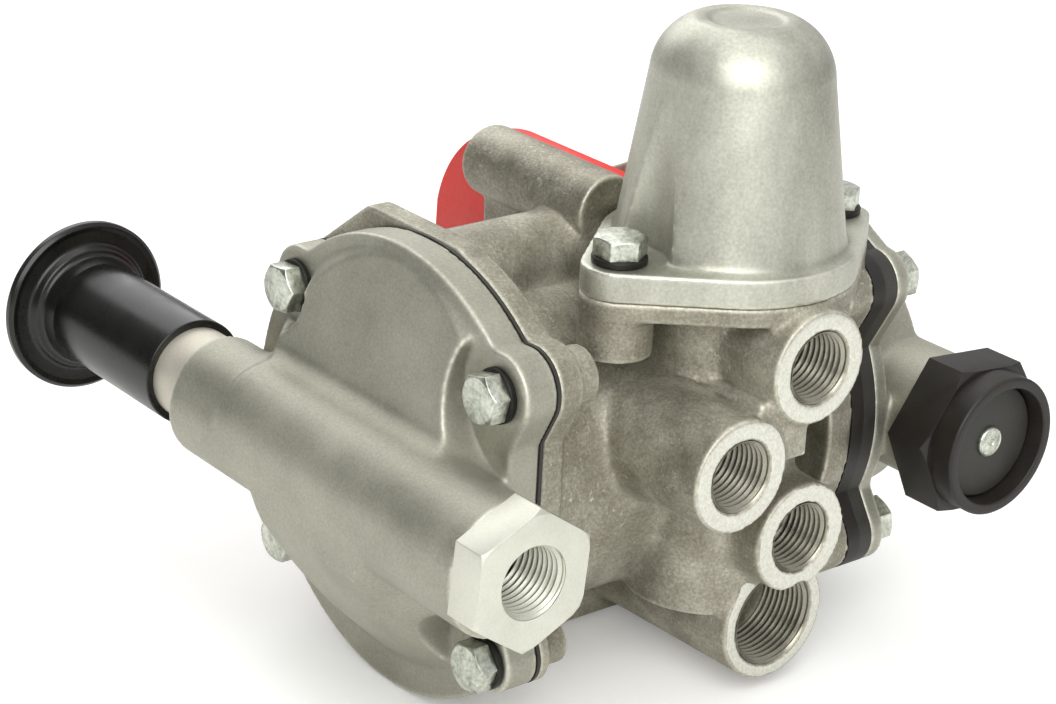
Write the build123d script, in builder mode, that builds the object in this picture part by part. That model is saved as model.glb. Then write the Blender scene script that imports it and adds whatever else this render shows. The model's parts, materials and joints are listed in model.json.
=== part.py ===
"""Hand lever air valve: a trailer relay-emergency valve with a release knob and a manual load lever.

Origin: centre of the mounting pad's face. +X points to the port bosses, -Y to the front cover and
+Z up. All sizes are millimetres. Inside the planes below, X and Z are counted from the axis of the
main bore, which runs along Y, and Y is counted from the middle of the mounting pad.
"""
import os
from math import cos, radians, sin

from build123d import *

os.makedirs("parts", exist_ok=True)

# ------------------------------------------------------------------ main body
bore_offset = 20.0  # main bore axis to the right of the mounting pad's centre
bore_height = 50.0  # main bore axis above the mounting pad's face
body_front = -46.0
body_rear = 42.2
front_flange = 6.0
rear_flange = 7.0
barrel_radius = 37.5
barrel_rear = 6.0
waist_radius = 26.0

# cover joints: one bolt pattern at both ends of the body
cover_bolt_x = 36.0
cover_bolt_z = 30.2
front_joint_radius = 51.0
front_joint_side = 40.0
rear_joint_radius = 41.3
rear_joint_lift = 3.6
front_lobe = 8.8
front_lower_lobe = 7.0
lower_ear_thickness = 2.6
rear_lobe = 7.9
front_crown = (-21.5, 8.0, 51.0)
rear_crown = (-12.0, 12.0, 54.5)
crown_slope_lobe = 6.8
crown_radius = 5.0
bolt_boss_radius = 6.3
lower_boss_radius = 4.8
upper_clamp_length = 21.0
lower_clamp_length = 18.0
rear_ear_length = 12.0

# load spring column, its rhombic flange and the dome bolts
column_x = 32.5
column_y = 8.2
column_radius = 18.0
column_foot = -30.0
top_face = 45.0
top_flange = 4.2
top_flange_radius = 27.5
dome_bolt_pitch = 61.0
dome_lobe = 8.0
dome_boss_length = 13.5
dome_thread_length = 7.5

# port bosses: face position, centre depth and centre height; the wall of an M16 or M22 thread
upper_port = (62.8, 8.1, 31.6)
middle_port = (62.1, -11.1, 11.3)
lower_port = (57.5, 12.5, -10.6)
reservoir_port = (50.4, 13.8, -33.6)
m16_radius = 8.0
m16_boss = 12.5
boss_draft = 1.2
middle_boss_draft = 3.5
m22_radius = 11.0
m22_boss = 14.4
lower_boss_root = 20.0
reservoir_boss_root = -8.0
port_depth = 15.0
port_passage = 4.5
passage_length = 7.0
fitting_clearance = 0.6
fin_front = -6.0
fin_top = 25.6
fin_setback = 1.8

# lever shaft housing, the closed cast tube across it and their web
shaft_x = -4.0
shaft_z = 39.0
housing_radius = 10.2
housing_bore = 7.9
cast_tube_y = -2.0
cast_tube_z = 50.0
cast_tube_radius = 8.2
cast_tube_left = -39.0
cast_tube_right = 5.0
cast_end_round = 3.0
web_thickness = 5.0

# mounting pad with four tapped holes
pad_width = 46.0
pad_depth = 44.0
pad_height = 18.0
pad_corner = 6.0
pad_pitch_x = 30.0
pad_pitch_y = 28.0
pad_hole_radius = 4.0
pad_hole_depth = 13.0

# bores inside the body
front_bore = 30.0
front_bore_depth = 32.0
rear_bore = 20.0
rear_bore_depth = 34.2
balance_bore = 14.0
balance_bore_depth = 37.0

# ------------------------------------------------------------------ front cover and release valve
cover_flange = 8.8
front_gasket = 0.8
bulge_radius = 46.0
bulge_draft = 45.0
bulge_shift = (2.0, 3.0)
bulge_rise = 8.0
lower_bulge_rise = 2.0
wedge_margin = 1.0
wedge_shoulder = 2.5
left_pocket_radius = 9.2
upper_pocket_radius = 18.6
upper_pocket_shift = 7.5
lower_pocket_radius = 12.4
cover_recess_radius = 26.0
cover_recess_depth = 3.0
tube_y = -66.9
tube_z = 3.6
tube_radius = 13.4
tube_neck_radius = 12.4
tube_drop = 2.6
tube_left = -48.8
tube_step = -30.0
tube_neck_overlap = 4.0
tube_right = 55.5
rod_radius = 10.7
spool_radius = 11.4
release_travel = 10.0
seal_section = 1.1
seal_count = 3
spool_land = 8.0
spool_waist_radius = 8.0
spool_stop_gap = 1.5
knob_sleeve_end = -59.3
knob_sleeve_radius = 12.4
knob_left = -110.3
knob_disc_radius = 20.7
knob_disc_thickness = 3.4
knob_rim = 1.2
knob_collar_height = 1.8
knob_collar_radius = 14.8
knob_neck = 9.0
fitting_flats = 27.0
fitting_turn = 25.0
fitting_hex_length = 8.8
fitting_spigot_radius = 12.0
fitting_spigot_length = 10.0
fitting_passage = 5.0

# ------------------------------------------------------------------ spring dome
dome_flange = 6.3
dome_height = 53.7
dome_foot_radius = 24.8
dome_shoulder_radius = 19.4
dome_shoulder_drop = 11.5
dome_shoulder_arc = 13.2
dome_crown_radius = 11.0
dome_wall = 4.0
driver_clearance_radius = 10.5
spring_room_radius = 14.6
room_shoulder_drop = 12.0
room_crown_radius = 11.2

# ------------------------------------------------------------------ rear stack
plate_thickness = 3.6
diaphragm_thickness = 3.7
rear_cover_flange = 4.0
rear_shell_radius = 34.5
rear_shell_depth = 19.3
rear_shell_draft = 4.0
rear_wall = 4.0
vent_y = 68.0
vent_z = -0.6
vent_boss_radius = 15.0
vent_boss_end = 46.0
vent_bore = 9.0
vent_flats = 33.4
vent_turn = 55.0
vent_hex_length = 11.0
vent_rim_radius = 16.4
vent_rim_length = 6.0
vent_rim_wall = 2.6
vent_recess = 5.6
vent_spigot_length = 8.0
vent_floor = 2.0
vent_hole_radius = 1.2
vent_hole_circle = 4.4
flap_thickness = 1.4
rivet_radius = 3.6
rivet_height = 1.6
rivet_shank_radius = 1.6

# ------------------------------------------------------------------ moving parts inside
stem_radius = 6.0
relay_disc_radius = 24.0
relay_disc_thickness = 4.5
relay_travel = 2.5
plate_dish_radius = 26.0
plate_dish_depth = 2.5
plate_vent_radius = 2.5
exhaust_bore = 3.4
seat_front = 24.0
seat_thickness = 4.0
seat_hole = 8.0
seat_lip = 1.2
poppet_radius = 12.0
poppet_thickness = 4.5
poppet_stem_radius = 4.0
poppet_stem_length = 29.0
poppet_spring_radius = 7.0
poppet_spring_wire = 0.9
emergency_length = 12.0
emergency_hollow = 24.0
emergency_spring_radius = 20.0
emergency_spring_wire = 1.6
cup_width = 3.0
balance_top = 38.0
balance_length = 16.0
spring_seat_thickness = 3.0
load_spring_radius = 9.2
load_spring_wire = 1.7
load_spring_turns = 7
lever_shaft_radius = 5.0
lever_shaft_front = -25.0
cam_radius = 6.0
cam_throw = 1.5
cam_length = 9.0
lever_swing = 60.0
follower_y = -5.0
follower_radius = 3.5
follower_length = 16.0
follower_spring_length = 6.0
follower_spring_wire = 0.5

# ------------------------------------------------------------------ hand lever
lever_front = 13.0
lever_thickness = 5.0
lever_hub_radius = 8.4
lever_hub_length = 10.0
lever_tip = -77.0
lever_top = 50.4
lever_foot = 6.0
lever_foot_width = 23.0
lever_tip_sweep = 78.0
lever_tip_radius = 31.0
lever_heel_setback = 6.0
bush_length = 6.0
shaft_seal_thickness = 2.0
lever_bolt_radius = 2.5
lever_bolt_depth = 12.0
lever_bolt_end_gap = 1.0

# ------------------------------------------------------------------ fasteners and clearances
m6_radius = 3.0
m6_flats = 10.0
m6_head = 4.2
m6_hole_clearance = 0.3
washer_radius = 5.9
washer_thickness = 1.6
slide_clearance = 0.05
rest_gap = 0.3


def across_y(y):
    """Plane square to Y; extrusions run towards the front cover."""
    return Plane(origin=(bore_offset, y, bore_height), x_dir=(1, 0, 0), z_dir=(0, -1, 0))


def across_x(x):
    """Plane square to X; sketches read Y and Z, and extrusions run towards the ports."""
    return Plane(origin=(bore_offset + x, 0, bore_height), x_dir=(0, 1, 0), z_dir=(1, 0, 0))


def level(z):
    """Plane square to Z; extrusions run upwards."""
    return Plane.XY.move(Location((bore_offset, 0, bore_height + z)))


def upright_axis(x, y):
    return Axis((bore_offset + x, y, bore_height), (0, 0, 1))


def save(part, name):
    part.label = name
    export_step(part, f"parts/{name}.step")


cover_bolts = [(sx * cover_bolt_x, sz * cover_bolt_z) for sx in (-1, 1) for sz in (-1, 1)]
rear_bolts = [(x, z + rear_joint_lift) for x, z in cover_bolts]
dome_bolts = [(column_x, column_y + side * dome_bolt_pitch / 2) for side in (-1, 1)]
ports = (
    (upper_port, m16_radius),
    (middle_port, m16_radius),
    (lower_port, m16_radius),
    (reservoir_port, m22_radius),
)
front_seat = body_front - cover_flange
plate_rear = body_rear + plate_thickness
cover_joint = plate_rear + diaphragm_thickness
rear_seat = cover_joint + rear_cover_flange


def joint_outline(radius, side, bolts, lobe, lower_lobe, crown=None):
    """Cover joint: a disc flattened on the port side, four bolt lobes and a peak over the shaft."""
    with BuildSketch(mode=Mode.PRIVATE) as outline:
        Circle(radius)
        with Locations((side + radius, 0)):
            Rectangle(2 * radius, 4 * radius, mode=Mode.SUBTRACT)
        for x, z in bolts:
            ear_radius = lobe if z > 0 else lower_lobe
            with BuildSketch(mode=Mode.PRIVATE) as ear:
                with Locations((x, z)):
                    Circle(ear_radius)
                with Locations((x / 2, z / 2)):
                    Circle(2 * lobe)
                make_hull()
            add(ear.sketch)
        if crown:
            crown_left, crown_right, crown_height = crown
            upper_z = max(z for x, z in bolts)
            with BuildSketch(mode=Mode.PRIVATE) as peak:
                for foot_x, foot_radius, top_x in (
                    (-cover_bolt_x, lobe, crown_left),
                    (cover_bolt_x, crown_slope_lobe, crown_right),
                ):
                    with Locations((foot_x, upper_z)):
                        Circle(foot_radius)
                    with Locations((top_x, crown_height - crown_radius)):
                        Circle(crown_radius)
                make_hull()
            add(peak.sketch)
    return outline.sketch


def dome_outline():
    with BuildSketch(mode=Mode.PRIVATE) as outline:
        with Locations((column_x, column_y)):
            Circle(top_flange_radius)
        with Locations(*dome_bolts):
            Circle(dome_lobe)
        make_hull()
    return outline.sketch


def coil(radius, wire, length, turns, start):
    """Compression spring that stands on the plane start and grows along its normal."""
    with BuildPart() as spring:
        with BuildLine():
            path = Helix((length - 2 * wire) / turns, length - 2 * wire, radius, center=(0, 0, wire))
        with BuildSketch(Plane(origin=path @ 0, z_dir=path % 0)):
            RegularPolygon(wire, 6, major_radius=True)
        sweep(is_frenet=True)
    return start.location * spring.part


front_joint = (front_joint_radius, front_joint_side, cover_bolts, front_lobe, front_lower_lobe)
front_outline = joint_outline(*front_joint, front_crown)
cover_outline = joint_outline(*front_joint)
rear_outline = joint_outline(
    rear_joint_radius, rear_joint_radius, rear_bolts, rear_lobe, rear_lobe, rear_crown
)

# ------------------------------------------------------------------ main body
with BuildPart() as main_body:
    with BuildSketch(across_y(body_front)):
        add(front_outline)
    extrude(amount=-front_flange)
    # the lower ears are thinner, to clear the pipe fitting
    with BuildSketch(across_y(body_front + front_flange)):
        with Locations(*[bolt for bolt in cover_bolts if bolt[1] < 0]):
            Circle(2 * front_lobe)
    extrude(amount=front_flange - lower_ear_thickness, mode=Mode.SUBTRACT)
    with BuildSketch(across_y(body_rear)):
        add(rear_outline)
    extrude(amount=rear_flange)
    with BuildSketch(across_y(body_front)):
        Circle(barrel_radius)
    extrude(amount=-(barrel_rear - body_front))
    with BuildSketch(across_y(barrel_rear)):
        Circle(waist_radius)
    extrude(amount=-(body_rear - barrel_rear))
    for x, z in cover_bolts:
        clamp = upper_clamp_length if z > 0 else lower_clamp_length
        with BuildSketch(across_y(body_front)):
            with Locations((x, z)):
                Circle(bolt_boss_radius if z > 0 else lower_boss_radius)
        extrude(amount=cover_flange - clamp)
    with BuildSketch(across_y(body_rear)):
        with Locations(*rear_bolts):
            Circle(bolt_boss_radius)
    extrude(amount=rear_ear_length)
    # load spring column with a domed foot
    with BuildSketch(level(column_foot)):
        with Locations((column_x, column_y)):
            Circle(column_radius)
    extrude(amount=top_face - column_foot)
    with BuildSketch(level(top_face)):
        add(dome_outline())
    extrude(amount=-top_flange)
    with BuildSketch(level(top_face)):
        with Locations(*dome_bolts):
            Circle(dome_lobe)
    extrude(amount=-dome_boss_length)
    # port bosses with casting draft towards the body
    for (face_x, y, z), radius, root, root_x in (
        (upper_port, m16_boss, m16_boss, column_x),
        (middle_port, m16_boss, m16_boss + middle_boss_draft, 0.0),
        (lower_port, m16_boss, m16_boss + boss_draft, lower_boss_root),
        (reservoir_port, m22_boss, m22_boss + boss_draft, reservoir_boss_root),
    ):
        with BuildSketch(across_x(face_x)):
            with Locations((y, z)):
                Circle(radius)
        with BuildSketch(across_x(root_x)):
            with Locations((y, z)):
                Circle(root)
        loft()
    # ledge between the upper and the middle port boss
    with BuildSketch(across_x(column_x)):
        with BuildLine():
            Polyline(
                (upper_port[1], fin_top),
                (fin_front, fin_top),
                (fin_front, middle_port[2]),
                (upper_port[1], middle_port[2]),
                close=True,
            )
        make_face()
    extrude(amount=upper_port[0] - column_x - fin_setback)
    # shaft housing, closed cast tube and the web that carries it
    with BuildSketch(across_y(body_front)):
        with Locations((shaft_x, shaft_z)):
            Circle(housing_radius)
    extrude(amount=-(barrel_rear - body_front))
    with BuildSketch(across_y(cast_tube_y)):
        with BuildLine():
            tube_top = Line(
                (cast_tube_right, cast_tube_z + cast_tube_radius),
                (cast_tube_left + cast_end_round, cast_tube_z + cast_tube_radius),
            )
            tube_round = JernArc(tube_top @ 1, (-1, 0), cast_end_round, 90)
            Polyline(
                tube_round @ 1,
                (cast_tube_left, cast_tube_z),
                (cast_tube_right, cast_tube_z),
                tube_top @ 0,
            )
        make_face()
    revolve(axis=Axis((bore_offset, cast_tube_y, bore_height + cast_tube_z), (1, 0, 0)))
    with BuildSketch(across_y(cast_tube_y + web_thickness / 2)):
        with BuildLine():
            Polyline(
                (cast_tube_left + cast_end_round, cast_tube_z),
                (column_x, cast_tube_z - cast_tube_radius),
                (column_x, 0),
                (cast_tube_left + 2 * cast_tube_radius, barrel_radius / 2),
                (cast_tube_left + cast_end_round, shaft_z - housing_radius),
                close=True,
            )
        make_face()
    extrude(amount=web_thickness)
    # mounting pad
    with BuildSketch(Plane.XY):
        RectangleRounded(pad_width, pad_depth, pad_corner)
    extrude(amount=pad_height)
    # machined seats of the dome and of the rear stack
    with BuildSketch(level(top_face)):
        add(dome_outline())
    extrude(amount=dome_flange, mode=Mode.SUBTRACT)
    with BuildSketch(across_y(body_rear)):
        add(rear_outline)
    extrude(amount=-(rear_seat - body_rear), mode=Mode.SUBTRACT)
    # main bores and the passage between them
    with BuildSketch(across_y(body_front)):
        Circle(front_bore)
    extrude(amount=-front_bore_depth, mode=Mode.SUBTRACT)
    with BuildSketch(across_y(body_rear)):
        Circle(rear_bore)
    extrude(amount=rear_bore_depth, mode=Mode.SUBTRACT)
    with BuildSketch(across_y(body_rear - rear_bore_depth)):
        Circle(poppet_stem_radius + slide_clearance)
    extrude(amount=body_rear - rear_bore_depth - body_front - front_bore_depth, mode=Mode.SUBTRACT)
    # balance bore under the dome
    with BuildSketch(level(top_face)):
        with Locations((column_x, column_y)):
            Circle(balance_bore)
    extrude(amount=-balance_bore_depth, mode=Mode.SUBTRACT)
    # lever shaft bore, follower bore
    shaft_bore_end = follower_y - cam_length
    with BuildSketch(across_y(barrel_rear)):
        with Locations((shaft_x, shaft_z)):
            Circle(housing_bore)
    extrude(amount=barrel_rear - shaft_bore_end, mode=Mode.SUBTRACT)
    with BuildSketch(across_y(shaft_bore_end)):
        with Locations((shaft_x, shaft_z)):
            Circle(lever_shaft_radius + slide_clearance)
    extrude(amount=shaft_bore_end - lever_shaft_front + rest_gap, mode=Mode.SUBTRACT)
    follower_top = shaft_z - cam_radius + cam_throw * sin(radians(lever_swing / 2)) - slide_clearance
    follower_foot = follower_top - follower_length
    with BuildSketch(level(shaft_z)):
        with Locations((shaft_x, follower_y)):
            Circle(follower_radius + slide_clearance)
    extrude(amount=-(shaft_z - follower_foot + follower_spring_length), mode=Mode.SUBTRACT)
    # port threads, their passages and the room that a pipe fitting needs beside the next boss
    for (face_x, y, z), radius in ports:
        with BuildSketch(across_x(face_x)):
            with Locations((y, z)):
                Circle(radius + fitting_clearance)
        extrude(amount=port_depth, mode=Mode.SUBTRACT)
        with BuildSketch(across_x(face_x)):
            with Locations((y, z)):
                Circle(radius)
        extrude(amount=-port_depth, mode=Mode.SUBTRACT)
        with BuildSketch(across_x(face_x - port_depth)):
            with Locations((y, z)):
                Circle(port_passage)
        extrude(amount=-passage_length, mode=Mode.SUBTRACT)
    # bolt holes
    for x, z in cover_bolts:
        clamp = upper_clamp_length if z > 0 else lower_clamp_length
        with BuildSketch(across_y(body_front)):
            with Locations((x, z)):
                Circle(m6_radius)
        extrude(amount=cover_flange - clamp, mode=Mode.SUBTRACT)
    with BuildSketch(across_y(body_rear)):
        with Locations(*rear_bolts):
            Circle(m6_radius)
    extrude(amount=rear_ear_length, mode=Mode.SUBTRACT)
    with BuildSketch(level(top_face)):
        with Locations(*dome_bolts):
            Circle(m6_radius)
    extrude(amount=-dome_thread_length, mode=Mode.SUBTRACT)
    with BuildSketch(Plane.XY):
        with GridLocations(pad_pitch_x, pad_pitch_y, 2, 2):
            Circle(pad_hole_radius)
    extrude(amount=pad_hole_depth, mode=Mode.SUBTRACT)
save(main_body.part, "main_body")

# ------------------------------------------------------------------ front cover
bulge_reach = front_seat - (tube_y - tube_radius)
with BuildPart() as front_cover:
    # bulge: a wedge that rises towards the tube, trimmed by a steeply drafted round wall
    with BuildSketch(across_y(front_seat)):
        with Locations(bulge_shift):
            Circle(bulge_radius)
    extrude(amount=bulge_reach, taper=bulge_draft)
    with BuildSketch(across_y(front_seat)):
        with Locations((front_joint_side + bulge_radius, 0)):
            Rectangle(2 * bulge_radius, 4 * bulge_radius)
    extrude(amount=bulge_reach, mode=Mode.SUBTRACT)
    with BuildSketch(across_x(-front_joint_radius)):
        with BuildLine():
            Polyline(
                (front_seat, front_joint_radius),
                (front_seat - wedge_margin / 2, front_joint_radius - wedge_margin),
                (front_seat - bulge_rise, tube_z + tube_radius + 2 * wedge_margin),
                (tube_y - tube_radius + wedge_shoulder, tube_z + tube_radius / 2),
                (tube_y - tube_radius, tube_z - 2 * wedge_margin),
                (tube_y - tube_radius + wedge_shoulder, tube_z - tube_radius - tube_drop),
                (front_seat - lower_bulge_rise, 4 * wedge_margin - front_joint_radius),
                (front_seat, -front_joint_radius),
                close=True,
            )
        make_face()
    extrude(amount=2 * front_joint_radius, mode=Mode.INTERSECT)
    # pockets that clear the bolt heads
    for x, z, radius in (
        (-cover_bolt_x, cover_bolt_z, left_pocket_radius),
        (-cover_bolt_x, -cover_bolt_z, left_pocket_radius),
        (cover_bolt_x + upper_pocket_shift, cover_bolt_z, upper_pocket_radius),
        (cover_bolt_x, -cover_bolt_z, lower_pocket_radius),
    ):
        with BuildSketch(across_y(front_seat)):
            with Locations((x, z)):
                Circle(radius)
        extrude(amount=bulge_reach, mode=Mode.SUBTRACT)
    with BuildSketch(across_y(body_front - front_gasket)):
        add(cover_outline)
    extrude(amount=cover_flange - front_gasket)
    # release valve tube: its underside carries more metal than its top
    for start, end, radius in (
        (tube_left, tube_step + tube_neck_overlap, tube_neck_radius),
        (tube_step, tube_right, tube_radius),
    ):
        with BuildSketch(across_x(start)):
            with Locations((tube_y, tube_z)):
                Circle(radius)
            with Locations((tube_y, tube_z - tube_drop)):
                Circle(tube_radius)
            make_hull()
        extrude(amount=end - start)
    with BuildSketch(across_x(tube_left)):
        with Locations((tube_y, tube_z)):
            Circle(rod_radius + slide_clearance)
    extrude(amount=tube_step - tube_left, mode=Mode.SUBTRACT)
    with BuildSketch(across_x(tube_step)):
        with Locations((tube_y, tube_z)):
            Circle(spool_radius + slide_clearance)
    extrude(amount=tube_right - fitting_spigot_length - tube_step, mode=Mode.SUBTRACT)
    with BuildSketch(across_x(tube_right)):
        with Locations((tube_y, tube_z)):
            Circle(fitting_spigot_radius)
    extrude(amount=-fitting_spigot_length, mode=Mode.SUBTRACT)
    # relief for the knob's sleeve when it is pushed in
    with BuildSketch(across_x(tube_left)):
        with Locations((tube_y, tube_z)):
            Circle(knob_sleeve_radius + rest_gap)
    extrude(amount=-front_joint_radius, mode=Mode.SUBTRACT)
    with BuildSketch(across_y(body_front)):
        Circle(cover_recess_radius)
    extrude(amount=front_gasket + cover_recess_depth, mode=Mode.SUBTRACT)
    with BuildSketch(across_y(body_front)):
        with Locations(*cover_bolts):
            Circle(m6_radius + m6_hole_clearance)
    extrude(amount=cover_flange, mode=Mode.SUBTRACT)
save(front_cover.part, "front_cover")

with BuildPart() as cover_gasket:
    with BuildSketch(across_y(body_front)):
        add(cover_outline)
        Circle(front_bore, mode=Mode.SUBTRACT)
        with Locations(*cover_bolts):
            Circle(m6_radius + m6_hole_clearance, mode=Mode.SUBTRACT)
    extrude(amount=front_gasket)
save(cover_gasket.part, "front_cover_gasket")

# ------------------------------------------------------------------ spring dome
dome_base = top_face + dome_flange
dome_top = top_face + dome_height
with BuildPart() as spring_dome:
    with BuildSketch(across_y(column_y)):
        with BuildLine():
            shoulder_z = dome_top - dome_shoulder_drop
            outer = Polyline(
                (column_x, dome_top),
                (column_x + dome_crown_radius, dome_top),
            )
            shoulder = RadiusArc(
                outer @ 1,
                (column_x + dome_shoulder_radius, shoulder_z),
                dome_shoulder_arc,
            )
            Polyline(
                shoulder @ 1,
                (column_x + dome_foot_radius, dome_base),
                (column_x + dome_foot_radius, top_face),
                (column_x, top_face),
                (column_x, dome_top),
            )
        make_face()
    revolve(axis=upright_axis(column_x, column_y))
    with BuildSketch(level(dome_base)):
        with Locations(*dome_bolts):
            Circle(driver_clearance_radius)
    extrude(amount=dome_height, mode=Mode.SUBTRACT)
    with BuildSketch(level(top_face)):
        add(dome_outline())
    extrude(amount=dome_flange)
    # spring room
    with BuildSketch(across_y(column_y)):
        with BuildLine():
            Polyline(
                (column_x, top_face),
                (column_x + spring_room_radius, top_face),
                (column_x + spring_room_radius, dome_top - room_shoulder_drop),
                (column_x + room_crown_radius, dome_top - dome_wall),
                (column_x, dome_top - dome_wall),
                close=True,
            )
        make_face()
    revolve(axis=upright_axis(column_x, column_y), mode=Mode.SUBTRACT)
    with BuildSketch(level(top_face)):
        with Locations(*dome_bolts):
            Circle(m6_radius + m6_hole_clearance)
    extrude(amount=dome_flange, mode=Mode.SUBTRACT)
save(spring_dome.part, "spring_dome")

# ------------------------------------------------------------------ intermediate plate and diaphragm
with BuildPart() as intermediate_plate:
    with BuildSketch(across_y(body_rear)):
        add(rear_outline)
        Circle(stem_radius + slide_clearance, mode=Mode.SUBTRACT)
        with Locations(*rear_bolts):
            Circle(m6_radius + m6_hole_clearance, mode=Mode.SUBTRACT)
        with PolarLocations(rear_bore - 2 * plate_vent_radius, 6):
            Circle(plate_vent_radius, mode=Mode.SUBTRACT)
    extrude(amount=-plate_thickness)
    with BuildSketch(level(top_face)):
        add(dome_outline())
    extrude(amount=dome_flange, mode=Mode.SUBTRACT)
    with BuildSketch(level(top_face)):
        with Locations(*dome_bolts):
            Circle(m6_radius)
    extrude(amount=-dome_boss_length, mode=Mode.SUBTRACT)
    with BuildSketch(across_y(plate_rear)):
        Circle(plate_dish_radius)
    extrude(amount=plate_dish_depth, mode=Mode.SUBTRACT)
save(intermediate_plate.part, "intermediate_plate")

with BuildPart() as diaphragm:
    with BuildSketch(across_y(plate_rear)):
        add(rear_outline)
        Circle(relay_disc_radius + rest_gap, mode=Mode.SUBTRACT)
        with Locations(*rear_bolts):
            Circle(m6_radius + m6_hole_clearance, mode=Mode.SUBTRACT)
    extrude(amount=-diaphragm_thickness)
save(diaphragm.part, "diaphragm")

# ------------------------------------------------------------------ rear cover
with BuildPart() as rear_cover:
    with BuildSketch(across_y(cover_joint)):
        add(rear_outline)
    extrude(amount=-rear_cover_flange)
    with BuildSketch(across_y(rear_seat)):
        Circle(rear_shell_radius)
    extrude(amount=-rear_shell_depth, taper=rear_shell_draft)
    with Locations((bore_offset, vent_y, bore_height + vent_z)):
        Sphere(vent_boss_radius)
    with BuildSketch(across_x(0)):
        with Locations((vent_y, vent_z)):
            Circle(vent_boss_radius)
    extrude(amount=vent_boss_end)
    with BuildSketch(across_y(cover_joint)):
        Circle(rear_shell_radius - rear_wall)
    extrude(amount=-(rear_cover_flange + rear_shell_depth - rear_wall), mode=Mode.SUBTRACT)
    with BuildSketch(across_x(vent_boss_end)):
        with Locations((vent_y, vent_z)):
            Circle(vent_bore)
    extrude(amount=-vent_boss_end, mode=Mode.SUBTRACT)
    with BuildSketch(across_y(cover_joint)):
        with Locations(*rear_bolts):
            Circle(m6_radius + m6_hole_clearance)
    extrude(amount=-rear_cover_flange, mode=Mode.SUBTRACT)
save(rear_cover.part, "rear_cover")

# ------------------------------------------------------------------ release valve
spool_left = tube_step + rest_gap
spool_right = tube_right - fitting_spigot_length - release_travel - spool_stop_gap
with BuildPart() as release_rod:
    with BuildSketch(across_x(knob_left + knob_disc_thickness + rest_gap)):
        with Locations((tube_y, tube_z)):
            Circle(rod_radius)
    extrude(amount=spool_left - knob_left - knob_disc_thickness - rest_gap)
    with BuildSketch(across_x(spool_left)):
        with Locations((tube_y, tube_z)):
            Circle(spool_radius)
    extrude(amount=spool_right - spool_left)
    # seal grooves and the two waists that the air passes
    seal_places = [spool_left + spool_land * (0.5 + 2 * i) for i in range(seal_count)]
    for place in seal_places:
        with BuildSketch(across_x(place - seal_section - rest_gap / 2)):
            with Locations((tube_y, tube_z)):
                Circle(spool_radius)
                Circle(spool_radius - 2 * seal_section - slide_clearance, mode=Mode.SUBTRACT)
        extrude(amount=2 * seal_section + rest_gap, mode=Mode.SUBTRACT)
    for place in seal_places[:-1]:
        with BuildSketch(across_x(place + spool_land / 2)):
            with Locations((tube_y, tube_z)):
                Circle(spool_radius)
                Circle(spool_waist_radius, mode=Mode.SUBTRACT)
        extrude(amount=spool_land, mode=Mode.SUBTRACT)
save(release_rod.part, "release_rod")

with BuildPart() as rod_seals:
    for place in seal_places:
        with BuildSketch(across_y(tube_y)):
            with Locations((place, tube_z + spool_radius - seal_section)):
                Circle(seal_section)
        revolve(axis=Axis((bore_offset + place, tube_y, bore_height + tube_z), (1, 0, 0)))
save(rod_seals.part, "rod_seals")

with BuildPart() as release_knob:
    with BuildSketch(across_y(tube_y)):
        with BuildLine():
            Polyline(
                (knob_left + knob_disc_thickness, tube_z + rod_radius + slide_clearance),
                (knob_sleeve_end, tube_z + rod_radius + slide_clearance),
                (knob_sleeve_end, tube_z + knob_sleeve_radius),
                (knob_left + knob_neck, tube_z + knob_sleeve_radius),
                (knob_left + knob_disc_thickness + knob_collar_height, tube_z + knob_collar_radius),
                (knob_left + knob_disc_thickness - knob_rim / 2, tube_z + knob_collar_radius),
                (knob_left + knob_disc_thickness, tube_z + knob_disc_radius - knob_rim),
                (knob_left + knob_disc_thickness - knob_rim / 2, tube_z + knob_disc_radius),
                (knob_left + knob_rim, tube_z + knob_disc_radius),
                (knob_left, tube_z + knob_disc_radius - 2 * knob_rim),
                (knob_left, tube_z),
                (knob_left + knob_disc_thickness, tube_z),
                close=True,
            )
        make_face()
    revolve(axis=Axis((bore_offset, tube_y, bore_height + tube_z), (1, 0, 0)))
save(release_knob.part, "release_knob")

with BuildPart() as hex_port_fitting:
    with BuildSketch(across_x(tube_right)):
        with Locations((tube_y, tube_z)):
            RegularPolygon(fitting_flats / 2, 6, major_radius=False, rotation=fitting_turn)
    extrude(amount=fitting_hex_length)
    with BuildSketch(across_x(tube_right)):
        with Locations((tube_y, tube_z)):
            Circle(fitting_spigot_radius - slide_clearance)
    extrude(amount=-fitting_spigot_length)
    with BuildSketch(across_x(tube_right + fitting_hex_length)):
        with Locations((tube_y, tube_z)):
            Circle(m16_radius)
    extrude(amount=-port_depth, mode=Mode.SUBTRACT)
    with BuildSketch(across_x(tube_right + fitting_hex_length)):
        with Locations((tube_y, tube_z)):
            Circle(fitting_passage)
    extrude(amount=-fitting_hex_length - fitting_spigot_length, mode=Mode.SUBTRACT)
save(hex_port_fitting.part, "hex_port_fitting")

# ------------------------------------------------------------------ emergency piston
emergency_front = body_front + rest_gap
emergency_rear = emergency_front + emergency_length
with BuildPart() as emergency_piston:
    with BuildSketch(across_y(emergency_front)):
        Circle(front_bore - slide_clearance)
    extrude(amount=-emergency_length)
    with BuildSketch(across_y(emergency_rear)):
        Circle(emergency_hollow)
    extrude(amount=emergency_length / 2, mode=Mode.SUBTRACT)
    with BuildSketch(across_y(emergency_front + cup_width)):
        Circle(front_bore)
        Circle(front_bore - cup_width - slide_clearance, mode=Mode.SUBTRACT)
    extrude(amount=-cup_width - slide_clearance, mode=Mode.SUBTRACT)
save(emergency_piston.part, "emergency_piston")

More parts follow.
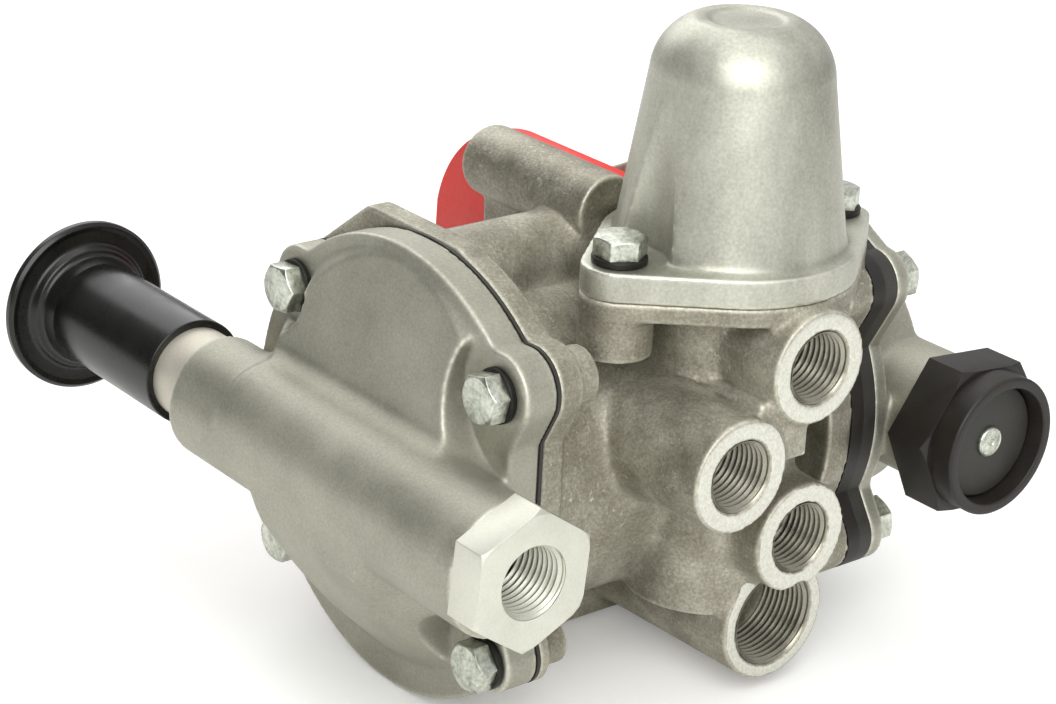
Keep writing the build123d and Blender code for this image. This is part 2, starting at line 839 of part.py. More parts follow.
with BuildPart() as emergency_cup_seal:
    with BuildSketch(across_y(emergency_front + cup_width)):
        Circle(front_bore - slide_clearance)
        Circle(front_bore - cup_width, mode=Mode.SUBTRACT)
    extrude(amount=-cup_width)
save(emergency_cup_seal.part, "emergency_cup_seal")

spring_rear = body_front + front_bore_depth - slide_clearance
spring_front = emergency_rear - emergency_length / 2 + slide_clearance
emergency_spring = coil(
    emergency_spring_radius, emergency_spring_wire, spring_rear - spring_front, 3, across_y(spring_rear)
)
save(emergency_spring, "emergency_spring")

# ------------------------------------------------------------------ relay valve
poppet_rear = seat_front - slide_clearance
with BuildPart() as valve_seat:
    with BuildSketch(across_y(seat_front)):
        Circle(rear_bore - slide_clearance)
        Circle(seat_hole, mode=Mode.SUBTRACT)
    extrude(amount=-seat_thickness)
    with BuildSketch(across_y(seat_front + seat_thickness)):
        Circle(rear_bore - slide_clearance)
        Circle(rear_bore - seat_lip, mode=Mode.SUBTRACT)
    extrude(amount=-(body_rear - seat_front - seat_thickness))
save(valve_seat.part, "valve_seat")

with BuildPart() as inlet_valve:
    with BuildSketch(across_y(poppet_rear)):
        Circle(poppet_radius)
    extrude(amount=poppet_thickness)
    with BuildSketch(across_y(poppet_rear)):
        Circle(poppet_stem_radius)
    extrude(amount=poppet_thickness + poppet_stem_length)
save(inlet_valve.part, "inlet_valve")

poppet_spring_front = body_rear - rear_bore_depth + slide_clearance
poppet_spring_length = poppet_rear - poppet_thickness - slide_clearance - poppet_spring_front
inlet_valve_spring = coil(
    poppet_spring_radius,
    poppet_spring_wire,
    poppet_spring_length,
    4,
    across_y(poppet_spring_front + poppet_spring_length),
)
save(inlet_valve_spring, "inlet_valve_spring")

relay_front = cover_joint + rest_gap
stem_end = poppet_rear + relay_travel + rest_gap
with BuildPart() as relay_piston:
    with BuildSketch(across_y(relay_front)):
        Circle(relay_disc_radius)
    extrude(amount=-relay_disc_thickness)
    with BuildSketch(across_y(stem_end)):
        Circle(stem_radius)
    extrude(amount=-(relay_front + relay_disc_thickness - stem_end))
    with BuildSketch(across_y(stem_end)):
        Circle(exhaust_bore)
    extrude(amount=-(relay_front + relay_disc_thickness - stem_end), mode=Mode.SUBTRACT)
save(relay_piston.part, "relay_piston")

# ------------------------------------------------------------------ balance piston and load spring
balance_foot = balance_top - balance_length
with BuildPart() as balance_piston:
    with BuildSketch(level(balance_foot)):
        with Locations((column_x, column_y)):
            Circle(balance_bore - slide_clearance)
    extrude(amount=balance_length)
    balance_seal_z = balance_foot + balance_length / 2
    with BuildSketch(level(balance_seal_z - seal_section - rest_gap / 2)):
        with Locations((column_x, column_y)):
            Circle(balance_bore)
            Circle(balance_bore - 2 * seal_section - 2 * slide_clearance, mode=Mode.SUBTRACT)
    extrude(amount=2 * seal_section + rest_gap, mode=Mode.SUBTRACT)
save(balance_piston.part, "balance_piston")

with BuildPart() as balance_piston_seal:
    with BuildSketch(across_y(column_y)):
        with Locations((column_x + balance_bore - slide_clearance - seal_section, balance_seal_z)):
            Circle(seal_section)
    revolve(axis=upright_axis(column_x, column_y))
save(balance_piston_seal.part, "balance_piston_seal")

ceiling = dome_top - dome_wall
for name, foot in (
    ("lower_spring_seat", balance_top),
    ("upper_spring_seat", ceiling - spring_seat_thickness),
):
    with BuildPart() as spring_seat:
        with BuildSketch(level(foot)):
            with Locations((column_x, column_y)):
                Circle(load_spring_radius + load_spring_wire)
        extrude(amount=spring_seat_thickness)
    save(spring_seat.part, name)

load_spring_foot = balance_top + spring_seat_thickness + slide_clearance
load_spring_length = ceiling - spring_seat_thickness - slide_clearance - load_spring_foot
graduating_spring = coil(
    load_spring_radius,
    load_spring_wire,
    load_spring_length,
    load_spring_turns,
    Plane(origin=(bore_offset + column_x, column_y, bore_height + load_spring_foot)),
)
save(graduating_spring, "graduating_spring")

# ------------------------------------------------------------------ lever shaft, cam and follower
seal_rear = barrel_rear + shaft_seal_thickness
hub_front = seal_rear + rest_gap
hub_rear = hub_front + lever_hub_length
with BuildPart() as lever_shaft:
    with BuildSketch(across_y(hub_rear - rest_gap)):
        with Locations((shaft_x, shaft_z)):
            Circle(lever_shaft_radius)
    extrude(amount=hub_rear - rest_gap - lever_shaft_front)
    # eccentric cam: half of the swing lies each side of its steepest lift
    cam_angle = radians(lever_swing / 2)
    with BuildSketch(across_y(follower_y + cam_length / 2)):
        with Locations((shaft_x + cam_throw * cos(cam_angle), shaft_z + cam_throw * sin(cam_angle))):
            Circle(cam_radius)
    extrude(amount=cam_length)
    with BuildSketch(across_y(hub_rear)):
        with Locations((shaft_x, shaft_z)):
            Circle(lever_bolt_radius)
    extrude(amount=lever_bolt_depth, mode=Mode.SUBTRACT)
save(lever_shaft.part, "lever_shaft")

with BuildPart() as shaft_bush:
    with BuildSketch(across_y(barrel_rear)):
        with Locations((shaft_x, shaft_z)):
            Circle(housing_bore - slide_clearance)
            Circle(lever_shaft_radius + slide_clearance, mode=Mode.SUBTRACT)
    extrude(amount=bush_length)
save(shaft_bush.part, "shaft_bush")

with BuildPart() as shaft_seal:
    with BuildSketch(across_y(seal_rear)):
        with Locations((shaft_x, shaft_z)):
            Circle(lever_hub_radius)
            Circle(lever_shaft_radius + slide_clearance, mode=Mode.SUBTRACT)
    extrude(amount=shaft_seal_thickness)
save(shaft_seal.part, "shaft_seal")

with BuildPart() as cam_follower:
    with BuildSketch(level(follower_top)):
        with Locations((shaft_x, follower_y)):
            Circle(follower_radius)
    extrude(amount=-follower_length)
save(cam_follower.part, "cam_follower")

follower_spring = coil(
    follower_radius - 2 * follower_spring_wire,
    follower_spring_wire,
    follower_spring_length - 2 * slide_clearance,
    4,
    Plane(
        origin=(
            bore_offset + shaft_x,
            follower_y,
            bore_height + follower_foot - follower_spring_length + slide_clearance,
        )
    ),
)
save(follower_spring, "follower_spring")

with BuildPart() as hand_lever:
    with BuildSketch(across_y(lever_front + lever_thickness)):
        with BuildLine():
            top_run = Line(
                (shaft_x - lever_heel_setback, lever_top),
                (lever_tip + lever_tip_radius, lever_top),
            )
            corner = JernArc(top_run @ 1, (-1, 0), lever_tip_radius, lever_tip_sweep)
            Polyline(
                corner @ 1,
                (lever_tip, lever_foot),
                (lever_tip + lever_foot_width, lever_foot),
                (shaft_x - 2 * lever_hub_radius, shaft_z - lever_hub_radius),
                (shaft_x, shaft_z - lever_hub_radius),
                (shaft_x, shaft_z + lever_hub_radius),
                (shaft_x - lever_heel_setback, lever_top),
            )
        make_face()
    extrude(amount=lever_thickness)
    with BuildSketch(across_y(hub_rear)):
        with Locations((shaft_x, shaft_z)):
            Circle(lever_hub_radius)
    extrude(amount=lever_hub_length)
    with BuildSketch(across_y(hub_rear)):
        with Locations((shaft_x, shaft_z)):
            Circle(lever_shaft_radius + slide_clearance)
    extrude(amount=lever_hub_length, mode=Mode.SUBTRACT)
save(hand_lever.part, "hand_lever")

# ------------------------------------------------------------------ silencer on the vent
rim_left = vent_boss_end + vent_hex_length
rim_right = rim_left + vent_rim_length
silencer_floor = rim_right - vent_recess
with BuildPart() as silencer_body:
    with BuildSketch(across_x(vent_boss_end)):
        with Locations((vent_y, vent_z)):
            RegularPolygon(vent_flats / 2, 6, major_radius=False, rotation=vent_turn)
    extrude(amount=vent_hex_length)
    with BuildSketch(across_x(rim_left)):
        with Locations((vent_y, vent_z)):
            Circle(vent_rim_radius)
    extrude(amount=vent_rim_length)
    with BuildSketch(across_x(vent_boss_end)):
        with Locations((vent_y, vent_z)):
            Circle(vent_bore - slide_clearance)
    extrude(amount=-vent_spigot_length)
    with BuildSketch(across_x(rim_right)):
        with Locations((vent_y, vent_z)):
            Circle(vent_rim_radius - vent_rim_wall)
    extrude(amount=-vent_recess, mode=Mode.SUBTRACT)
    with BuildSketch(across_x(vent_boss_end - vent_spigot_length)):
        with Locations((vent_y, vent_z)):
            Circle(vent_bore - vent_rim_wall)
    extrude(amount=vent_spigot_length + silencer_floor - vent_boss_end - vent_floor, mode=Mode.SUBTRACT)
    with BuildSketch(across_x(silencer_floor)):
        with Locations((vent_y, vent_z)):
            with PolarLocations(vent_hole_circle, 8):
                Circle(vent_hole_radius)
            Circle(rivet_shank_radius)
    extrude(amount=-vent_floor, mode=Mode.SUBTRACT)
save(silencer_body.part, "silencer_body")

with BuildPart() as silencer_flap:
    with BuildSketch(across_x(silencer_floor + slide_clearance)):
        with Locations((vent_y, vent_z)):
            Circle(vent_rim_radius - vent_rim_wall - rest_gap)
            Circle(rivet_shank_radius, mode=Mode.SUBTRACT)
    extrude(amount=flap_thickness)
save(silencer_flap.part, "silencer_flap")

with BuildPart() as silencer_rivet:
    with BuildSketch(across_y(vent_y)):
        with BuildLine():
            head_foot = silencer_floor + slide_clearance + flap_thickness
            dome_edge = EllipticalCenterArc((head_foot, vent_z), rivet_height, rivet_radius, 0, arc_size=90)
            Polyline(
                dome_edge @ 1,
                (head_foot, vent_z + rivet_shank_radius - slide_clearance),
                (silencer_floor - vent_floor, vent_z + rivet_shank_radius - slide_clearance),
                (silencer_floor - vent_floor, vent_z),
                dome_edge @ 0,
            )
        make_face()
    revolve(axis=Axis((bore_offset, vent_y, bore_height + vent_z), (1, 0, 0)))
save(silencer_rivet.part, "silencer_rivet")


# ------------------------------------------------------------------ fasteners
def screw_set(seat, places, lengths, radius=m6_radius):
    """Hex head screws on the plane seat, whose normal points out of the joint."""
    with BuildPart() as screws:
        for (x, y), length in zip(places, lengths):
            with BuildSketch(seat.offset(washer_thickness)):
                with Locations((x, y)):
                    RegularPolygon(m6_flats / 2, 6, major_radius=False)
            extrude(amount=m6_head)
            with BuildSketch(seat.offset(washer_thickness)):
                with Locations((x, y)):
                    Circle(radius - slide_clearance)
            extrude(amount=-length - washer_thickness)
    return screws.part


def washer_set(seat, places, radius=m6_radius):
    with BuildPart() as washers:
        with BuildSketch(seat):
            with Locations(*places):
                Circle(washer_radius)
                Circle(radius + m6_hole_clearance, mode=Mode.SUBTRACT)
        extrude(amount=washer_thickness)
    return washers.part


front_face = across_y(front_seat)
rear_face = Plane(
    origin=(bore_offset, rear_seat, bore_height),
    x_dir=(-1, 0, 0),
    z_dir=(0, 1, 0),
)
dome_face = level(dome_base)
lever_face = Plane(origin=(bore_offset, hub_rear, bore_height), x_dir=(-1, 0, 0), z_dir=(0, 1, 0))
mirrored_bolts = [(-x, z) for x, z in rear_bolts]
upper_and_lower = [upper_clamp_length if z > 0 else lower_clamp_length for x, z in cover_bolts]
rear_clamp = rear_seat - body_rear + rear_ear_length
dome_clamp = dome_flange + dome_thread_length

save(screw_set(front_face, cover_bolts, upper_and_lower), "front_cover_bolts")
save(washer_set(front_face, cover_bolts), "front_cover_washers")
save(screw_set(rear_face, mirrored_bolts, [rear_clamp] * 4), "rear_cover_bolts")
save(washer_set(rear_face, mirrored_bolts), "rear_cover_washers")
save(screw_set(dome_face, dome_bolts, [dome_clamp] * 2), "dome_bolts")
save(washer_set(dome_face, dome_bolts), "dome_washers")
save(
    screw_set(lever_face, [(-shaft_x, shaft_z)], [lever_bolt_depth - lever_bolt_end_gap], lever_bolt_radius),
    "lever_bolt",
)
save(washer_set(lever_face, [(-shaft_x, shaft_z)], lever_bolt_radius), "lever_washer")
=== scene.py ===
"""Looks of the hand lever air valve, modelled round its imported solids, in metres."""

import json
import math

import bpy
import numpy as np
from mathutils import Matrix, Vector


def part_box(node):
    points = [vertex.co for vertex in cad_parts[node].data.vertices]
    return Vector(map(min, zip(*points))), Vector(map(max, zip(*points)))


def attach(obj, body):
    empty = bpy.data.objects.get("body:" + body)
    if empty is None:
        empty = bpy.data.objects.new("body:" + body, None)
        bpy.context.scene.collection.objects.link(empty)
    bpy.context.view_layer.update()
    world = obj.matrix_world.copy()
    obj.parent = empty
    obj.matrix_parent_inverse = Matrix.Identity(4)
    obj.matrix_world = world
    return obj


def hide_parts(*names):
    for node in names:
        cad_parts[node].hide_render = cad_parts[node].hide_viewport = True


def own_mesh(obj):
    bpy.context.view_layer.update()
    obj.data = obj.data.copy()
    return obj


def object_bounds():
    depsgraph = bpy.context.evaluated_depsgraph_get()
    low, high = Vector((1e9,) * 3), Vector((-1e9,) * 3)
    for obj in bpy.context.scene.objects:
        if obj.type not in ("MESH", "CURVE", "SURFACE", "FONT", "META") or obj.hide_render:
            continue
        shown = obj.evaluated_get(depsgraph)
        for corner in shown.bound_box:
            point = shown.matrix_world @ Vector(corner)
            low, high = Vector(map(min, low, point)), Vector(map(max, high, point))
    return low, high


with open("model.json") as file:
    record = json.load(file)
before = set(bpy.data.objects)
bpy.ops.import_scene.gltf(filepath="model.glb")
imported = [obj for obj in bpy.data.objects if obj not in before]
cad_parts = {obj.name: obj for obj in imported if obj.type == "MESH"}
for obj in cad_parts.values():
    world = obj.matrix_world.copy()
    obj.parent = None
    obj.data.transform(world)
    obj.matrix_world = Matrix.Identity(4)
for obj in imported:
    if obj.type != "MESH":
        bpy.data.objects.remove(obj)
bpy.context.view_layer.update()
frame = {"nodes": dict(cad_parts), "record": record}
record = frame["record"]
MM = 0.001
mounts = {m["name"]: m for m in record["mounts"]}
slots = {s["node"]: s["material_slot"] for s in record["subparts"]}
body_of_node = {n: b for b, members in record["behaviour"]["bodies"].items() for n in members}

# how pieces are made, in millimetres unless said otherwise
ARC_STEPS = 6
CHAMFER_ANGLE = math.radians(30)
CHAMFER_SLOPE = 0.577  # tan 30 degrees, for the part of the cone beyond the corners
EDGE_BREAK = 0.18
MOST_TRIANGLES = 190000
# curvature per metre from slight to full, for the pale rubbed edges with their painted highlight and for the
# painted shade in hollow corners
WORN_AND_HIGHLIT_BEND = (170.0, 750.0)
PAINTED_SHADE_BEND = (-90.0, -420.0)
# screw heads and washers
HEAD_FLATS = 10.0
HEAD_HEIGHT = 4.2
HEAD_FACE = 4.75
HEAD_TURN = 0.08  # radians from one screw of a set to the next
WASHER_BORE = 3.3
WASHER_RADIUS = 5.9
WASHER_HEIGHT = 1.6
WASHER_ROUND = 0.45
# threads, each drawn on a thin sleeve inside its port
THREAD_PITCH = 1.5
CREST_DEPTH = 0.54  # share of the pitch
ROOT_GAP = 0.10  # between the thread's root and the bore
SLEEVE_WALL = 0.07
LEAD_IN_SLOPE = 0.9
MOUTH_GAP = 0.12
END_GAP = 0.6


# ---------------------------------------------------------------- making and finishing pieces
def only(*pieces):
    """Leaves just these pieces selected, the first of them active."""
    bpy.ops.object.select_all(action="DESELECT")
    for piece in pieces:
        piece.select_set(True)
    bpy.context.view_layer.objects.active = pieces[0]


def modify(piece, kind, **settings):
    """Adds a modifier, sets it and applies it."""
    only(piece)
    modifier = piece.modifiers.new(kind.title(), kind)
    for key, value in settings.items():
        setattr(modifier, key, value)
    bpy.ops.object.modifier_apply(modifier=modifier.name)


def cut(piece, tool, how="DIFFERENCE"):
    """Cuts a piece with a tool solid, or joins or trims it, and throws the tool away."""
    modify(piece, "BOOLEAN", object=tool, operation=how, solver="EXACT")
    bpy.data.objects.remove(tool)


def set_down(piece, place, axis=(0, 0, 1), turn=0.0):
    """Stands a piece made along +Z on a place, with its foot square to the axis."""
    upright = Vector(axis).to_track_quat("Z", "Y").to_matrix().to_4x4()
    piece.data.transform(Matrix.Translation(place) @ upright @ Matrix.Rotation(turn, 4, "Z"))
    piece.data.update()
    return piece


def drawn(name, profile):
    """A line through (radius, height) points in millimetres, left in edit mode."""
    bpy.ops.object.select_all(action="DESELECT")
    bpy.ops.mesh.primitive_plane_add(size=MM, location=(0, 0, 0))
    piece = bpy.context.object
    piece.name = name
    bpy.ops.object.mode_set(mode="EDIT")
    bpy.ops.mesh.select_all(action="SELECT")
    bpy.ops.mesh.merge(type="CENTER")
    points = [Vector((radius, 0, height)) * MM for radius, height in profile]
    at = points[0]
    bpy.ops.transform.translate(value=at)
    for point in points[1:]:
        step = point - at
        bpy.ops.mesh.extrude_region_move(TRANSFORM_OT_translate={"value": step})
        at = at + step
    return piece


def turned(name, profile, steps=96):
    """A turned part: (radius, height) points in millimetres spun once round Z."""
    piece = drawn(name, profile)
    bpy.ops.mesh.select_all(action="SELECT")
    bpy.ops.mesh.spin(steps=steps, angle=math.tau, center=(0, 0, 0), axis=(0, 0, 1))
    bpy.ops.mesh.select_all(action="SELECT")
    bpy.ops.mesh.remove_doubles(threshold=1e-6)
    bpy.ops.mesh.normals_make_consistent(inside=False)
    bpy.ops.object.mode_set(mode="OBJECT")
    return piece


def rounded(points, corners):
    """Profile points with the numbered corners rounded: {index: radius}, six steps to an arc."""
    out = []
    for i, point in enumerate(points):
        radius = corners.get(i)
        if not radius:
            out.append(point)
            continue
        here = Vector(point)
        before = (Vector(points[i - 1]) - here).normalized()
        after = (Vector(points[(i + 1) % len(points)]) - here).normalized()
        half = before.angle(after) / 2
        reach = radius / math.tan(half)
        start, end = here + before * reach, here + after * reach
        centre = here + (before + after).normalized() * radius / math.sin(half)
        a, b = start - centre, end - centre
        for k in range(ARC_STEPS + 1):
            spoke = a.slerp(b, k / ARC_STEPS, a.normalized())
            out.append(tuple(centre + spoke.normalized() * radius))
    return out


def hexagon(name, flats, height, face_radius):
    """A hexagon nut or head standing on Z = 0, its top corners turned off to a round face."""
    bpy.ops.object.select_all(action="DESELECT")
    bpy.ops.mesh.primitive_cylinder_add(
        vertices=6, radius=flats / 2 / math.cos(math.pi / 6) * MM, depth=height * MM,
        location=(0, 0, height / 2 * MM), rotation=(0, 0, math.pi / 6),
    )
    piece = bpy.context.object
    piece.name = name
    bpy.ops.object.transform_apply(location=True, rotation=True, scale=True)
    corner = flats / math.sqrt(3)
    drop = (corner - face_radius) * math.tan(CHAMFER_ANGLE)
    cone_foot = height - drop - (flats - corner) * CHAMFER_SLOPE
    cone = turned("lathe_cone", [(0, -1), (flats, -1), (flats, cone_foot), (face_radius, height), (0, height)])
    cut(piece, cone, "INTERSECT")
    modify(piece, "BEVEL", width=EDGE_BREAK * MM, segments=2, limit_method="ANGLE", angle_limit=math.radians(25))
    return piece


def smooth(piece, angle=32):
    """Shades a piece smoothly, but for edges sharper than the angle in degrees."""
    only(piece)
    bpy.ops.object.shade_smooth_by_angle(angle=math.radians(angle))


def copy_of(node, name):
    """A welded copy of a CAD node, to be worked on."""
    bpy.ops.object.select_all(action="DESELECT")
    piece = again(frame["nodes"][node])
    piece.name = piece.data.name = name
    only(piece)
    bpy.ops.object.mode_set(mode="EDIT")
    bpy.ops.mesh.select_all(action="SELECT")
    bpy.ops.mesh.remove_doubles(threshold=2e-6)
    bpy.ops.object.mode_set(mode="OBJECT")
    return piece


def again(piece):
    """A copy of a piece with a mesh of its own."""
    other = piece.copy()
    other.data = piece.data.copy()
    bpy.context.collection.objects.link(other)
    return other


def joined(name, pieces):
    """One piece made of several, such as a set of screws."""
    only(*pieces)
    if len(pieces) > 1:
        bpy.ops.object.join()
    pieces[0].name = pieces[0].data.name = name
    return pieces[0]


def carry(piece, node, material):
    """Puts a piece on the body of a CAD node, in that node's finish, and hides the node."""
    piece.data.materials.clear()
    piece.data.materials.append(material)
    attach(piece, body_of_node[node])
    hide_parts(node)
    return piece


# ---------------------------------------------------------------- making a casting
def links(mesh):
    """Places of a mesh's points, the ends of its edges both ways round, and the edges at each point."""
    count = len(mesh.vertices)
    place = np.empty(count * 3)
    mesh.vertices.foreach_get("co", place)
    edges = np.empty(len(mesh.edges) * 2, dtype=np.int64)
    mesh.edges.foreach_get("vertices", edges)
    edges = edges.reshape(-1, 2)
    ends = np.concatenate([edges, edges[:, ::-1]])
    return place.reshape(-1, 3), ends, np.maximum(np.bincount(ends[:, 0], minlength=count), 1)


def summed(owner, rows, count):
    """Rows of three numbers added up over the point that owns each."""
    return np.stack([np.bincount(owner, rows[:, k], count) for k in range(3)], 1)


def relax(mesh, rounds, fill):
    """Evens a grid of quads. With fill, points only move outwards, which pours a fillet in each corner."""
    place, ends, degree = links(mesh)
    count = len(place)
    quads = np.empty(len(mesh.loops), dtype=np.int64)
    mesh.loops.foreach_get("vertex_index", quads)
    quads = quads.reshape(-1, 4)
    for _ in range(rounds):
        pull = summed(ends[:, 0], place[ends[:, 1]], count) / degree[:, None] - place
        if fill:
            across = place[quads[:, 2]] - place[quads[:, 0]], place[quads[:, 3]] - place[quads[:, 1]]
            facing = np.cross(*across)
            normal = sum(summed(quads[:, corner], facing, count) for corner in range(4))
            normal /= np.linalg.norm(normal, axis=1, keepdims=True) + 1e-12
            pull = normal * np.maximum((pull * normal).sum(1, keepdims=True), 0)
        place = place + pull * 0.5
    mesh.vertices.foreach_set("co", place.ravel())
    mesh.update()


def mark_edges_and_shade(mesh):
    """Writes how sharply each point bulges (rubbed edge with a painted highlight) or dips (hollow corner with
    painted shade) as two attributes from 0 to 1.
    """
    place, ends, degree = links(mesh)
    count = len(place)
    normal = np.empty(count * 3)
    mesh.vertices.foreach_get("normal", normal)
    normal = normal.reshape(-1, 3)
    step = place[ends[:, 1]] - place[ends[:, 0]]
    square = (step ** 2).sum(1)
    bend = -2 * (step * normal[ends[:, 0]]).sum(1) / np.maximum(square, 1e-12)
    bend = np.bincount(ends[:, 0], bend, count) / degree
    for _ in range(4):
        bend = 0.5 * bend + 0.5 * np.bincount(ends[:, 0], bend[ends[:, 1]], count) / degree
    # one attribute for the painted highlight on rubbed edges, one for the painted shade in hollow corners
    for name, (slight, full) in (("worn", WORN_AND_HIGHLIT_BEND), ("sheltered", PAINTED_SHADE_BEND)):
        value = np.clip((bend - slight) / (full - slight), 0, 1).astype(np.float32)
        mesh.attributes.new(name, "FLOAT", "POINT").data.foreach_set("value", value)


def casting(node, voxel, fillet_rounds, edge_rounds):
    """The node as it comes from the mould: filleted in its corners and softened along its edges."""
    piece = copy_of(node, node + "_casting")
    modify(piece, "REMESH", mode="VOXEL", voxel_size=voxel * MM)
    relax(piece.data, fillet_rounds, True)
    relax(piece.data, edge_rounds, False)
    triangles = 2 * len(piece.data.polygons)
    if triangles > MOST_TRIANGLES:
        modify(piece, "DECIMATE", ratio=MOST_TRIANGLES / triangles)
    only(piece)
    bpy.ops.object.shade_smooth()
    # marks where edges get their painted highlight and hollow corners their painted shade
    mark_edges_and_shade(piece.data)
    return piece


# ---------------------------------------------------------------- materials
def linear(code):
    """An sRGB hex colour as linear RGBA."""
    parts = [int(code[i:i + 2], 16) / 255 for i in (1, 3, 5)]
    return tuple(c / 12.92 if c <= 0.04045 else ((c + 0.055) / 1.055) ** 2.4 for c in parts) + (1.0,)


def add(tree, kind, inputs=None, ramp=None, **settings):
    """Adds one shader node with its settings, and sets or links its inputs."""
    made = tree.nodes.new("ShaderNode" + kind)
    for key, value in settings.items():
        setattr(made, key, value)
    for key, value in (inputs or {}).items():
        if isinstance(value, bpy.types.NodeSocket):
            tree.links.new(value, made.inputs[key])
        else:
            made.inputs[key].default_value = value
    if ramp:
        elements = made.color_ramp.elements
        while len(elements) < len(ramp):
            elements.new(0.5)
        for element, (at, value) in zip(elements, ramp):
            element.position = at
            element.color = value if isinstance(value, tuple) else (value, value, value, 1)
    return made


def new_material(name):
    """A material with its node tree and its shader node."""
    material = bpy.data.materials.new(name)
    material.use_nodes = True
    tree = material.node_tree
    return material, tree, tree.nodes["Principled BSDF"]


def flecked(tree, place, colour, strength):
    """Rubbed spots about 1 mm long, gathered in patches of about 9 mm."""
    spots = add(tree, "TexNoise", {"Vector": place, "Scale": 1000 / 1.1, "Detail": 5.0, "Roughness": 0.7})
    areas = add(tree, "TexNoise", {"Vector": place, "Scale": 1000 / 9.0, "Detail": 3.0})
    spot = add(tree, "ValToRGB", {"Fac": spots.outputs["Fac"]}, ramp=[(0.56, 0.0), (0.68, 1.0)])
    area = add(tree, "ValToRGB", {"Fac": areas.outputs["Fac"]}, ramp=[(0.45, 0.1), (0.62, 1.0)])
    share = add(tree, "Math", {0: spot.outputs["Color"], 1: area.outputs["Color"]}, operation="MULTIPLY")
    share = add(tree, "Math", {0: share.outputs[0], 1: strength}, operation="MULTIPLY").outputs[0]
    spotted = add(tree, "Mix", {"Factor": share, "A": colour, "B": linear("#d9d6c8")}, data_type="RGBA")
    return spotted.outputs[2]


def edge_wear_highlight_and_shade(tree, unevenness, colour, rubbed_and_highlight_tone, painted_shade_tone):
    """Pale rubbed edges with a painted highlight, broken up by the unevenness, and painted shade in hollow
    corners.
    """
    # rubbed edges and a painted highlight: convex edges are lightened towards the pale tone, by how sharply they
    # bulge
    worn = add(tree, "Attribute", attribute_name="worn").outputs["Fac"]
    worn = add(tree, "Math", {0: worn, 1: unevenness}, operation="MULTIPLY").outputs[0]
    worn = add(tree, "MapRange", {"Value": worn, "From Max": 0.4, "To Max": 0.8}).outputs["Result"]
    rubbed_and_highlit = add(tree, "Mix", {"Factor": worn, "A": colour, "B": linear(rubbed_and_highlight_tone)}, data_type="RGBA")
    # painted shade: hollow corners are darkened towards the shade tone, by how sharply they dip
    sheltered = add(tree, "Attribute", attribute_name="sheltered").outputs["Fac"]
    sheltered = add(tree, "Math", {0: sheltered, 1: 0.6}, operation="MULTIPLY").outputs[0]
    shaded = add(tree, "Mix", {
        "Factor": sheltered, "A": rubbed_and_highlit.outputs[2], "B": linear(painted_shade_tone),
    }, data_type="RGBA")
    return shaded.outputs[2]


def machined(tree, place, fine, faces, colour, gloss, height):
    """Bright turned rings on the round faces that look along +X, each given as (place, radius)."""
    normal = add(tree, "TexCoord").outputs["Normal"]
    facing = add(tree, "SeparateXYZ", {"Vector": normal}).outputs["X"]
    inside = within = 0.0
    for centre, radius in faces:
        off = add(tree, "VectorMath", {0: place, 1: centre}, operation="SUBTRACT")
        far = add(tree, "VectorMath", {0: off.outputs["Vector"]}, operation="LENGTH").outputs["Value"]
        near = add(tree, "Math", {0: far, 1: radius * MM}, operation="LESS_THAN").outputs[0]
        inside = add(tree, "Math", {0: inside, 1: near}, operation="MAXIMUM").outputs[0]
        ring = add(tree, "Math", {0: far, 1: near}, operation="MULTIPLY").outputs[0]
        within = add(tree, "Math", {0: within, 1: ring}, operation="ADD").outputs[0]
    square = add(tree, "Math", {0: facing, 1: 0.93}, operation="GREATER_THAN").outputs[0]
    mask = add(tree, "Math", {0: inside, 1: square}, operation="MULTIPLY").outputs[0]
    # turning marks drawn 0.5 mm apart, coarser than a tool leaves them, so that they show
    waves = add(tree, "Math", {0: within, 1: math.tau / (0.5 * MM)}, operation="MULTIPLY").outputs[0]
    marks = add(tree, "Math", {0: waves}, operation="SINE").outputs[0]
    bright = add(tree, "ValToRGB", {"Fac": fine}, ramp=[
        (0.3, linear("#c9c8bb")), (0.7, linear("#e3e3d8")),
    ]).outputs["Color"]
    flat = add(tree, "MapRange", {
        "Value": marks, "From Min": -1.0, "To Min": 0.45, "To Max": 0.55,
    }).outputs["Result"]
    return (
        add(tree, "Mix", {"Factor": mask, "A": colour, "B": bright}, data_type="RGBA").outputs[2],
        add(tree, "Mix", {"Factor": mask, "A": gloss, "B": 0.33}, data_type="FLOAT").outputs[0],
        add(tree, "Mix", {"Factor": mask, "A": height, "B": flat}, data_type="FLOAT").outputs[0],
    )


